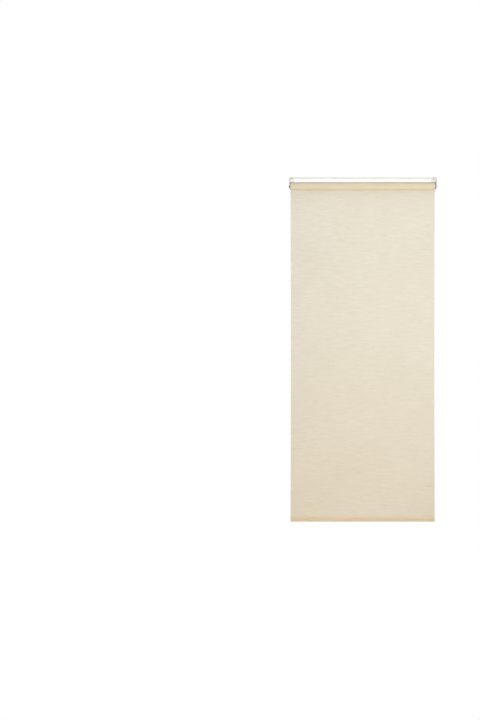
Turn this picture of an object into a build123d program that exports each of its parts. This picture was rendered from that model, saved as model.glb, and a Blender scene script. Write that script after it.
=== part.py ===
"""Spring roller blind: a jute cloth on a tube, hung between two end brackets under a slim rail.

The frame has +X along the rail, +Y from the room to the wall and +Z up. Its origin is the middle of
the rail's top face, which is the face that meets a ceiling or the head of a window recess. The cloth
leaves the tube on the wall side, as it does on the real blind, so the roll stands in front of it.
Lengths are in millimetres and angles in degrees.
"""

import math
import os

from build123d import *

# Whole blind
cloth_width = 600.0
full_drop = 1430.0
axis_drop = 36.5
wall_offset = 32.0
cut_overrun = 1.0
running_clearance = 0.05
push_clearance = 0.1

# Jute cloth
cloth_thickness = 1.2
turn_gap = 0.15
half_turns_left = 3
roll_seat_gap = 0.05
slub_height = 0.3
slub_pitch = 19.0
slub_wander = 10.0

# Tube that the cloth winds on, with a groove for the strip that grips the cloth
tube_diameter = 28.0
tube_wall = 1.0
tube_overhang = 1.0
groove_width = 4.0
groove_depth = 2.2

# Rail
rail_depth = 28.0
rail_height = 6.0
rail_wall = 1.2
rail_lip = 5.0
rail_end_gap = 3.2
ceiling_hole_diameter = 4.5
ceiling_hole_inset = 50.8

# End brackets, pressed from sheet
plate_thickness = 1.8
plate_clearance = 1.0
bend_radius = 1.2
boss_radius = 10.3
tongue_length = 34.0
tongue_side_gap = 0.8
flange_width = 20.0
flange_height = 28.0
flange_top_drop = 5.0
wall_hole_diameter = 4.5
wall_hole_spacing = 16.0
flange_corner = 3.0

# End plugs of the tube
plug_flange_inset = 0.2
plug_flange_thickness = 2.0
plug_rib_thickness = 3.0

# Idle end: a pin that a small spring pushes out into the left bracket
idle_plug_length = 28.0
idle_plug_end_wall = 6.0
idle_chamber_wall = 1.4
idle_pin_diameter = 5.0
idle_pin_reach = 2.0
idle_collar_step = 1.4
idle_collar_gap = 0.3
idle_collar_thickness = 2.0
idle_tail_diameter = 3.0
idle_tail_length = 8.0
idle_retainer_thickness = 4.0
pin_spring_tail_gap = 0.4
pin_spring_wire = 0.7
pin_spring_coils = 5
pin_spring_flat_count = 8

# Spring end: a spade pin that cannot turn, with a ratchet and a rod for the lift spring
spring_cap_depth = 20.0
spring_cap_wall = 1.2
spring_cap_recess = 9.0
shaft_diameter = 6.0
spade_thickness = 2.4
spade_reach = 1.8
spade_side_gap = 0.15
spade_setback = 0.5
hub_corner_gap = 0.125
hub_length = 12.0
hub_gap = 2.0
rod_diameter = 5.0
rod_socket_depth = 7.0
rod_end_reach = 4.0
anchor_length = 16.0
lift_spring_length = 175.0
lift_spring_bore = 11.0
lift_spring_wire = 1.6
lift_spring_coils = 9
lift_spring_flat_count = 8

# Stop ratchet and its pawls, in the open end of the spring cap
ratchet_floor_wall = 0.55
ratchet_step = 1.4
pawl_thickness = 2.5
pawl_eye_wall = 0.45
pawl_wall_gap = 1.1
pawl_clear_angle = 15.0
pawl_nose_gap = 0.15
pawl_side_gap = 0.2
rivet_diameter = 1.4
rivet_head_lip = 1.0
rivet_head_height = 0.8

# Bottom bar and the hem that holds it
bar_height = 16.0
bar_thickness = 4.0
bar_clearance = 0.3
hem_neck = 4.0
hem_side_inset = 1.0

# Places that follow from the sizes above
roller_z = -axis_drop
roller_axis = Axis((0, 0, roller_z), (1, 0, 0))
tube_radius = tube_diameter / 2
tube_bore_radius = tube_radius - tube_wall
plug_radius = tube_bore_radius - push_clearance
rib_depth = groove_depth + tube_wall
cloth_end = cloth_width / 2
tube_end = cloth_end + tube_overhang
plug_face = tube_end + plug_flange_thickness
plate_inner = plug_face + plate_clearance
plate_outer = plate_inner + plate_thickness
bend_outside = bend_radius + plate_thickness
rail_end = plate_inner - rail_end_gap
ceiling_hole_x = rail_end - ceiling_hole_inset
half_turn_rise = (cloth_thickness + turn_gap) / 2
roll_radius = tube_radius + roll_seat_gap + cloth_thickness + half_turns_left * half_turn_rise
panel_back = roll_radius
panel_front = roll_radius - cloth_thickness
panel_middle = (panel_front + panel_back) / 2
pocket_height = bar_height + 2 * bar_clearance
pocket_thickness = bar_thickness + 2 * bar_clearance
hem_loop_height = pocket_height + 2 * cloth_thickness
hem_loop_thickness = pocket_thickness + 2 * cloth_thickness
hem_top = -full_drop + hem_loop_height + hem_neck
bar_z = -full_drop + hem_loop_height / 2
groove_side = 1 - 2 * (half_turns_left % 2)
plug_flange_radius = tube_radius - plug_flange_inset
idle_pin_radius = idle_pin_diameter / 2
idle_collar_radius = idle_pin_radius + idle_collar_step
idle_chamber_radius = idle_collar_radius + idle_collar_gap
idle_plug_inner = tube_end - idle_plug_length
idle_chamber_mouth = plug_face - idle_plug_end_wall
idle_collar_outer = idle_chamber_mouth - push_clearance
idle_collar_inner = idle_collar_outer - idle_collar_thickness
pin_spring_bore = idle_tail_diameter + 2 * pin_spring_tail_gap
shaft_radius = shaft_diameter / 2
spring_cap_inner = tube_end - spring_cap_depth
spring_cap_floor = plug_face - spring_cap_recess
spring_cap_cup_radius = plug_radius - spring_cap_wall
hub_side = (lift_spring_bore - 2 * hub_corner_gap) / math.sqrt(2)
hub_outer = spring_cap_inner - hub_gap
hub_inner = hub_outer - hub_length
anchor_face = hub_outer - lift_spring_length
anchor_inner = anchor_face - anchor_length
anchor_hub_end = anchor_face + hub_length
ratchet_floor = shaft_radius + running_clearance + ratchet_floor_wall
ratchet_radius = ratchet_floor + ratchet_step
pawl_inner = spring_cap_floor + pawl_side_gap
pawl_outer = pawl_inner + pawl_thickness
pawl_depth = rivet_diameter + 2 * (running_clearance + pawl_eye_wall)
pawl_pivot_radius = spring_cap_cup_radius - pawl_wall_gap - pawl_depth / 2
pawl_pivot_z = ratchet_floor + pawl_side_gap / 2 + pawl_depth / 2
pawl_pivot_y = math.sqrt(pawl_pivot_radius**2 - pawl_pivot_z**2)
golden_share = (math.sqrt(5) - 1) / 2


def along_x(section, x_from, x_to):
    """Extrude a section, drawn in Y and Z, between two places along the rail."""
    return extrude(Plane.YZ.offset(x_from) * section, x_to - x_from)


def block(x_from, x_to, y_from, y_to, z_from, z_to):
    """A box between three pairs of limits."""
    size = (x_to - x_from, y_to - y_from, z_to - z_from)
    middle = ((x_from + x_to) / 2, (y_from + y_to) / 2, (z_from + z_to) / 2)
    return Pos(*middle) * Box(*size)


def rod(radius, x_from, x_to, y=0, z=0):
    """A round bar along X, placed by its offset from the roller's axis."""
    turned = Rot(0, 90, 0) * Cylinder(radius, abs(x_to - x_from))
    return Pos((x_from + x_to) / 2, y, roller_z + z) * turned


def to_left(piece):
    """The mirror image of a right-hand piece."""
    return mirror(piece, about=Plane.YZ)


def uneven(step):
    """A share from 0 to 1 that never repeats from one step to the next."""
    return (step * golden_share) % 1


def rail_section():
    """Slim channel with its open side down and two inward lips."""
    outer = Pos(0, -rail_height / 2) * Rectangle(rail_depth, rail_height)
    channel = Rectangle(rail_depth - 2 * rail_wall, rail_height - 2 * rail_wall)
    mouth_height = rail_wall + cut_overrun
    mouth = Rectangle(rail_depth - 2 * rail_lip, 2 * mouth_height)
    return outer - Pos(0, -rail_height / 2) * channel - Pos(0, -rail_height) * mouth


def head_rail():
    """Rail between the brackets, with two holes for ceiling screws."""
    rail = along_x(rail_section(), -rail_end, rail_end)
    drill = Cylinder(ceiling_hole_diameter / 2, 2 * (rail_wall + cut_overrun))
    for side in (-1, 1):
        rail -= Pos(side * ceiling_hole_x, 0, 0) * drill
    return rail


def tongue_half_width():
    """Half the width of the tongue that slides into the rail."""
    return rail_depth / 2 - rail_wall - tongue_side_gap


def folded_edge(leg):
    """Flat leg of bent sheet and its quarter bend, with the corner of their outside at the origin."""
    flat_length = leg - bend_outside
    flat = Pos(flat_length / 2 - leg, -plate_thickness / 2) * Rectangle(flat_length, plate_thickness)
    quarter = Pos(bend_outside / 2, bend_outside / 2) * Rectangle(bend_outside, bend_outside)
    bend = (Circle(bend_outside) - Circle(bend_radius)) & quarter
    return flat + Pos(-bend_outside, -bend_outside) * bend


def bracket_blank():
    """Right-hand bracket before its pin hole: side plate, rail tongue and wall flange."""
    tongue_top = -rail_wall
    plate_top = tongue_top - bend_outside
    plate_rear = wall_offset - bend_outside
    flange_top = -flange_top_drop
    flange_foot = flange_top - flange_height
    corners = Polyline(
        (-rail_depth / 2, plate_top),
        (rail_depth / 2, plate_top),
        (plate_rear, flange_top),
        (plate_rear, flange_foot),
    )
    boss = Pos(0, roller_z) * Circle(boss_radius)
    plate = along_x(make_hull(corners.edges() + boss.edges()), plate_inner, plate_outer)

    tongue_section = Pos(plate_outer, tongue_top) * folded_edge(tongue_length)
    tongue = extrude(Plane.XZ * tongue_section, tongue_half_width(), both=True)

    flange_section = Pos(plate_outer, wall_offset) * folded_edge(flange_width)
    flange = extrude(Plane.XY.offset(flange_foot) * flange_section, flange_height)
    free_edges = flange.edges().filter_by(Axis.Y).group_by(Axis.X)[0]
    flange = chamfer(free_edges, flange_corner)
    hole_x = wall_hole_x()
    for step in (-1, 1):
        hole_z = wall_hole_z() + step * wall_hole_spacing / 2
        drill = Rot(90, 0, 0) * Cylinder(wall_hole_diameter / 2, 2 * (plate_thickness + cut_overrun))
        flange -= Pos(hole_x, wall_offset, hole_z) * drill
    return plate + tongue + flange


def wall_hole_x():
    """Distance of the wall screws from the middle of the blind."""
    return plate_inner - (flange_width - plate_thickness) / 2


def wall_hole_z():
    """Height midway between the two wall screws of a bracket."""
    return -flange_top_drop - flange_height / 2


def left_bracket():
    """Bracket with a round hole for the idle pin."""
    hole_radius = idle_pin_radius + running_clearance
    drill = rod(hole_radius, plate_inner - cut_overrun, plate_outer + cut_overrun)
    return to_left(bracket_blank() - drill)


def right_bracket():
    """Bracket with an upright slot that keeps the spade pin from turning."""
    half_width = spade_thickness / 2 + spade_side_gap
    half_height = shaft_radius + spade_side_gap
    slot = block(
        plate_inner - cut_overrun,
        plate_outer + cut_overrun,
        -half_width,
        half_width,
        roller_z - half_height,
        roller_z + half_height,
    )
    return bracket_blank() - slot


def groove_block(x_from, x_to, inner, outer, half_width):
    """A bar along the tube's groove, on the side of the tube where the innermost turn ends."""
    y_from, y_to = sorted((groove_side * inner, groove_side * outer))
    return block(x_from, x_to, y_from, y_to, roller_z - half_width, roller_z + half_width)


def rib_block(x_from, x_to, gap=0):
    """The groove's wall inside the tube, grown by a gap where a plug fits over it."""
    inner = tube_radius - rib_depth - gap
    return groove_block(x_from, x_to, inner, tube_radius, groove_width / 2 + tube_wall + gap)


def roller_tube():
    """Tube with one lengthwise groove, whose wall stands inside the bore as a key."""
    start, stop = -tube_end - cut_overrun, tube_end + cut_overrun
    outside = rod(tube_radius, -tube_end, tube_end)
    shell = outside - rod(tube_bore_radius, start, stop)
    key = rib_block(-tube_end, tube_end) & outside
    groove_floor = tube_radius - groove_depth
    groove = groove_block(start, stop, groove_floor, tube_radius + cut_overrun, groove_width / 2)
    return shell + key - groove


def cloth_strip():
    """Strip that is pressed into the tube's groove and grips the end of the cloth."""
    floor = tube_radius - groove_depth
    half_width = groove_width / 2 - push_clearance
    strip = groove_block(-cloth_end, cloth_end, floor, tube_radius, half_width)
    return strip & rod(tube_radius, -cloth_end, cloth_end)


def wound_section():
    """Turns left on the tube, as half-circle arcs about two centres, from the outside in."""
    outer, inner = [], []
    for step in range(half_turns_left):
        under = step % 2
        centre = (half_turn_rise / 2 - under * half_turn_rise, roller_z)
        start = 180 * under
        radius = roll_radius - half_turn_rise / 2 - step * half_turn_rise
        outer.append(CenterArc(centre, radius, start, 180))
        inner.append(CenterArc(centre, radius - cloth_thickness, start, 180))
    loose_end = Line(outer[0] @ 0, inner[0] @ 0)
    tube_end_line = Line(outer[-1] @ 1, inner[-1] @ 1)
    return make_face([*outer, tube_end_line, *inner, loose_end])


def cloth_roll():
    """Cloth that is still wound on the tube."""
    return along_x(wound_section(), -cloth_end, cloth_end)


def slub_outline(valley, crest):
    """Points down one face of the cloth, over the uneven slubs of its weft."""
    drop = roller_z - hem_top
    count = int(drop / slub_pitch)
    points = [(valley, roller_z)]
    for step in range(count):
        top = roller_z - drop * step / count
        middle = top - slub_pitch / 2 + (uneven(step) - 0.5) * slub_wander
        points += [(crest, middle), (valley, top - drop / count)]
    return points


def cloth_panel():
    """Hanging cloth: one wall, ribbed by the slubs of its weft on both faces."""
    front = slub_outline(panel_front + slub_height, panel_front)
    back = slub_outline(panel_back - slub_height, panel_back)
    outline = Polyline(*front, *reversed(back), close=True)
    return along_x(make_face(outline), -cloth_end, cloth_end)


def oval(height, thickness):
    """Upright section with round ends, for the bar and its pocket."""
    return Pos(panel_middle, bar_z) * SlotOverall(height, thickness, rotation=90)


def hem():
    """Cloth folded round the bottom bar and sewn to itself above it."""
    neck = Pos(panel_middle, hem_top - hem_neck / 2) * Rectangle(2 * cloth_thickness, hem_neck)
    loop = make_hull(oval(hem_loop_height, hem_loop_thickness).edges() + neck.edges())
    pocket = oval(pocket_height, pocket_thickness)
    return along_x(loop - pocket, -cloth_end, cloth_end)


def bottom_bar():
    """Flat slat that weights the cloth, short of the hem's open ends."""
    return along_x(oval(bar_height, bar_thickness), hem_side_inset - cloth_end, cloth_end - hem_side_inset)


def plug_flange():
    """Right-hand collar that covers the end of the tube."""
    return rod(plug_flange_radius, tube_end, plug_face)


def cross_core(x_from, x_to, core_side):
    """Moulded core of a plug: a square bar with four ribs to the tube's bore, slotted for its key."""
    rib = Rectangle(2 * plug_radius, plug_rib_thickness)
    cross = rib + Rot(0, 0, 90) * rib + Rectangle(core_side, core_side)
    core = along_x(Pos(0, roller_z) * cross, x_from, x_to) & rod(plug_radius, x_from, x_to)
    return core - rib_block(x_from - cut_overrun, x_to + cut_overrun, push_clearance)


def idle_plug():
    """Plug of the idle end, bored for the pin and its spring."""
    core_side = 2 * (idle_chamber_radius + idle_chamber_wall)
    body = cross_core(idle_plug_inner, tube_end, core_side) + plug_flange()
    body -= rod(idle_pin_radius + running_clearance, idle_plug_inner, plug_face + cut_overrun)
    body -= rod(idle_chamber_radius, idle_plug_inner - cut_overrun, idle_chamber_mouth)
    return to_left(body)


def idle_pin():
    """Stepped pin: tip in the bracket, collar against the plug's end wall, tail in the spring."""
    pin = rod(idle_pin_radius, idle_collar_outer, plate_outer + idle_pin_reach)
    pin += rod(idle_collar_radius, idle_collar_inner, idle_collar_outer)
    pin += rod(idle_tail_diameter / 2, idle_collar_inner - idle_tail_length, idle_collar_inner)
    return to_left(pin)


def pin_retainer():
    """Disc pressed into the plug's chamber, which the pin's spring pushes against."""
    radius = idle_chamber_radius - push_clearance
    return to_left(rod(radius, idle_plug_inner, idle_plug_inner + idle_retainer_thickness))


def coil(x_from, x_to, bore, wire, coils, flat_count):
    """Spring of square wire about the roller's axis, each turn bent in flats clear of the bore."""
    start, stop = x_from + wire, x_to - wire
    radius = (bore + wire) / 2 / math.cos(math.pi / flat_count)
    pitch = (stop - start) / coils
    curve = Helix(pitch, stop - start, radius, center=(start, 0, roller_z), direction=(1, 0, 0))
    bends = coils * flat_count
    path = Polyline(*[curve @ (bend / bends) for bend in range(bends + 1)])
    profile = Plane(origin=path @ 0, z_dir=path % 0) * Rectangle(wire, wire)
    return sweep(profile, path, transition=Transition.RIGHT)


def pin_spring():
    """Small push spring between the idle pin's collar and the retainer."""
    seat = idle_plug_inner + idle_retainer_thickness
    turns = (pin_spring_coils, pin_spring_flat_count)
    return to_left(coil(seat, idle_collar_inner, pin_spring_bore, pin_spring_wire, *turns))


def spring_cap():
    """Plug of the spring end: a bearing for the spade pin and an open cup for the pawls."""
    body = rod(plug_radius, spring_cap_inner, tube_end) + plug_flange()
    body -= rod(spring_cap_cup_radius, spring_cap_floor, plug_face + cut_overrun)
    body -= rod(shaft_radius + running_clearance, spring_cap_inner - cut_overrun, plug_face)
    body -= rib_block(spring_cap_inner - cut_overrun, tube_end, push_clearance)
    return body


def pawl_rivets():
    """Headed pins, staked to the spring cap's floor, that the pawls turn on."""
    head = pawl_outer + pawl_side_gap
    head_radius = rivet_diameter / 2 + rivet_head_lip
    rivets = []
    for side in (1, -1):
        y, z = side * pawl_pivot_y, side * pawl_pivot_z
        pin = rod(rivet_diameter / 2, spring_cap_floor, head, y, z)
        rivets.append(pin + rod(head_radius, head, head + rivet_head_height, y, z))
    return Compound(rivets)


def stop_pawl(half_turn):
    """Straight pawl, lifted clear of the ratchet by the angle it drops to catch it."""
    nose = pawl_pivot_y - pawl_nose_gap
    arm = Pos(-nose / 2, 0) * Rectangle(nose, pawl_depth) + Circle(pawl_depth / 2)
    arm -= Circle(rivet_diameter / 2 + running_clearance)
    section = Pos(pawl_pivot_y, pawl_pivot_z) * Rot(0, 0, -pawl_clear_angle) * arm
    placed = Pos(0, roller_z) * Rot(0, 0, half_turn) * section
    return along_x(placed, pawl_inner, pawl_outer)


def upper_pawl():
    """Pawl above the spade pin."""
    return stop_pawl(0)


def lower_pawl():
    """The same pawl, half a turn round the spade pin."""
    return stop_pawl(180)


def ratchet_wheel():
    """Disc on the spade pin with two steps, half a turn apart, that stop the pawls' noses."""
    x_from, x_to = pawl_inner - cut_overrun, pawl_outer + cut_overrun
    wheel = rod(ratchet_radius, pawl_inner, pawl_outer)
    wheel -= rod(shaft_radius + running_clearance, x_from, x_to)
    notch_reach = ratchet_radius + cut_overrun
    notch = block(x_from, x_to, 0, notch_reach, roller_z + ratchet_floor, roller_z + notch_reach)
    return wheel - notch - notch.rotate(roller_axis, 180)


def hub_section():
    """Square section of the hubs that the lift spring's end turns grip."""
    return Pos(0, roller_z) * Rectangle(hub_side, hub_side)


def spade_pin():
    """Shaft that the spring cap turns on, flattened to fit the right bracket's slot."""
    shoulder = plate_inner - spade_setback
    tip = plate_outer + spade_reach
    pin = along_x(hub_section(), hub_inner, hub_outer) + rod(shaft_radius, hub_outer, shoulder)
    half = spade_thickness / 2
    flat = block(shoulder, tip, -half, half, roller_z - shaft_radius, roller_z + shaft_radius)
    pin += flat & rod(shaft_radius, shoulder, tip)
    socket_radius = rod_diameter / 2 + running_clearance
    return pin - rod(socket_radius, hub_inner - cut_overrun, hub_inner + rod_socket_depth)


def spring_rod():
    """Rod from the spade pin's socket to its bearing in the spring anchor."""
    return rod(rod_diameter / 2, anchor_inner - rod_end_reach, hub_inner + rod_socket_depth)


def spring_anchor():
    """Cross-ribbed plug, keyed into the tube, whose square hub holds the far end of the lift spring."""
    body = cross_core(anchor_inner, anchor_face, hub_side)
    body += along_x(hub_section(), anchor_inner, anchor_hub_end)
    bore_radius = rod_diameter / 2 + running_clearance
    return body - rod(bore_radius, anchor_inner - cut_overrun, anchor_hub_end + cut_overrun)


def lift_spring():
    """Torsion spring from the spade pin's hub to the anchor's hub."""
    turns = (lift_spring_coils, lift_spring_flat_count)
    return coil(anchor_face, hub_outer, lift_spring_bore, lift_spring_wire, *turns)


pieces = {
    "head_rail": head_rail,
    "left_bracket": left_bracket,
    "right_bracket": right_bracket,
    "roller_tube": roller_tube,
    "cloth_strip": cloth_strip,
    "cloth_roll": cloth_roll,
    "cloth_panel": cloth_panel,
    "hem": hem,
    "bottom_bar": bottom_bar,
    "idle_plug": idle_plug,
    "idle_pin": idle_pin,
    "pin_retainer": pin_retainer,
    "pin_spring": pin_spring,
    "spring_cap": spring_cap,
    "pawl_rivets": pawl_rivets,
    "upper_pawl": upper_pawl,
    "lower_pawl": lower_pawl,
    "ratchet_wheel": ratchet_wheel,
    "spade_pin": spade_pin,
    "spring_rod": spring_rod,
    "spring_anchor": spring_anchor,
    "lift_spring": lift_spring,
}

os.makedirs("parts", exist_ok=True)
for name, make in pieces.items():
    export_step(make(), f"parts/{name}.step")
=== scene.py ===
"""Looks of a jute roll-up blind: woven cloth, sewn hem, coated rail and brackets, and the roller's parts.

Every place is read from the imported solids, in metres: +X runs along the rail, +Y to the wall and +Z up.
Sizes that belong to a finish, a stitch or a screw are named here in millimetres.
"""

import logging
import math
from abc import ABC, abstractmethod
from collections.abc import Mapping, Sequence
from dataclasses import dataclass
from enum import Enum

import bmesh
import bpy
import numpy as np
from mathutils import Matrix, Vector


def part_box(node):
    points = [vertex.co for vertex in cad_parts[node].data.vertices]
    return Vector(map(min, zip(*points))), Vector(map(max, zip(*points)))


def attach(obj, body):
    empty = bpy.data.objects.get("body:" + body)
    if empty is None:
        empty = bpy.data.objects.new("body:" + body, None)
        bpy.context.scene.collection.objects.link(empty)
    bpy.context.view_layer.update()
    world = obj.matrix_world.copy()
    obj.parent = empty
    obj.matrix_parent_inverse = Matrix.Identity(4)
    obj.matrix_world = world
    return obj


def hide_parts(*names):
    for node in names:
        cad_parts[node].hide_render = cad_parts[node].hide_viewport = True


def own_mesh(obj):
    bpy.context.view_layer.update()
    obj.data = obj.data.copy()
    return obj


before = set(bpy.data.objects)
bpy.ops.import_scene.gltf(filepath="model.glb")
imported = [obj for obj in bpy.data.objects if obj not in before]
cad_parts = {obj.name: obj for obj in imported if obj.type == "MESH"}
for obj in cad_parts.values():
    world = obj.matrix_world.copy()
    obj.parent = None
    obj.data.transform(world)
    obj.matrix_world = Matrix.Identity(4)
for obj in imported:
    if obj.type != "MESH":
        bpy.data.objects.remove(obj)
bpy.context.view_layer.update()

Array = np.ndarray
Node = bpy.types.Node
NodeTree = bpy.types.NodeTree
Object = bpy.types.Object
Socket = bpy.types.NodeSocket
Pair = tuple[float, float]
Triple = tuple[float, float, float]
Tones = tuple[str, str]

MM = 0.001
CLOTH_PLACE = "cloth_place"
# The yarns are drawn coarser than real jute, so that the weave shows.
WEFT_PITCH_MM = 2.4
WARP_PITCH_MM = 3.2
WHITE = "ffffff"
# Setting with which a mix node mixes colours.
COLOURS = {"data_type": "RGBA"}
log = logging.getLogger("blind")


class Layers(Enum):
    """How deep the cloth's tone is, as a share: light shines through one layer and not through several."""

    SINGLE = 0.0
    SEWN = 0.1
    FOLDED = 1.0
    HEMMED = 1.4


class Body(Enum):
    """Bodies of the frame that pieces ride on."""

    FRAME = "frame"
    ROLLER = "roller"
    BOTTOM_BAR = "bottom_bar"


class Slot(Enum):
    """Material slots of the record."""

    JUTE = "jute"
    STEEL = "steel"


def linear(colour: str) -> tuple[float, float, float, float]:
    """Turns an sRGB hex colour into the linear colour that shaders take.

    Args:
        colour: six hex digits.

    Returns:
        Linear red, green, blue and an alpha of 1.
    """
    values = [int(colour[place : place + 2], 16) / 255 for place in (0, 2, 4)]
    red, green, blue = (v / 12.92 if v <= 0.04045 else ((v + 0.055) / 1.055) ** 2.4 for v in values)
    return red, green, blue, 1.0


def add_node(
    tree: NodeTree,
    kind: str,
    settings: Mapping[str, object] | None = None,
    inputs: Mapping[int | str, object] | None = None,
) -> Node:
    """Adds one shader node with its settings and links.

    Args:
        tree: node tree that takes the node.
        kind: class name of the node, without the leading ShaderNode.
        settings: properties of the node by name.
        inputs: the value that a socket holds, or the output that feeds it, by the socket's name or number.

    Returns:
        The new node.
    """
    node = tree.nodes.new("ShaderNode" + kind)
    for name, value in (settings or {}).items():
        setattr(node, name, value)
    for name, value in (inputs or {}).items():
        if isinstance(value, Socket):
            tree.links.new(value, node.inputs[name])
        else:
            node.inputs[name].default_value = value
    return node


def sized_noise(tree: NodeTree, place: Socket, size_mm: Sequence[float], detail: float) -> Socket:
    """Adds a soft noise whose features have real sizes.

    Args:
        tree: node tree that takes the nodes.
        place: a point's place, in metres.
        size_mm: size of a feature along each axis of the place.
        detail: octaves of finer noise on top.

    Returns:
        The noise's value, from 0 to 1.
    """
    scale = Vector([1 / (size * MM) for size in size_mm]).to_3d()
    scaled = add_node(tree, "VectorMath", {"operation": "MULTIPLY"}, {0: place, 1: scale}).outputs[0]
    return add_node(tree, "TexNoise", inputs={"Vector": scaled, "Scale": 1.0, "Detail": detail}).outputs[0]


def seen_directly(tree: NodeTree) -> Socket:
    """Adds a factor that is 1 for what the eye sees, in a mirror or through glass too, and 0 for light.

    Args:
        tree: node tree that takes the nodes.

    Returns:
        The factor.
    """
    path = add_node(tree, "LightPath").outputs
    factor = path["Is Camera Ray"]
    for kind in ("Is Glossy Ray", "Is Transmission Ray"):
        factor = add_node(tree, "Math", {"operation": "MAXIMUM"}, {0: factor, 1: path[kind]}).outputs[0]
    return factor


@dataclass(frozen=True)
class Finish(ABC):
    """A surface finish: one named material with nodes of its own."""

    name: str

    def material(self) -> bpy.types.Material:
        """Makes the material at the first call and gives the same one later.

        Returns:
            The finish's material.
        """
        found = bpy.data.materials.get(self.name)
        if found is None:
            found = bpy.data.materials.new(self.name)
            found.use_nodes = True
            self.shade(found.node_tree, found.node_tree.nodes["Principled BSDF"])
        return found

    @abstractmethod
    def shade(self, tree: NodeTree, shader: Node) -> None:
        """Sets the shader's sockets and adds the nodes that feed them.

        Args:
            tree: the material's node tree.
            shader: its principled shader.
        """

    def dress(self, piece: Object) -> None:
        """Gives the finish to a piece as its only material."""
        piece.data.materials.clear()
        piece.data.materials.append(self.material())


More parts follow.
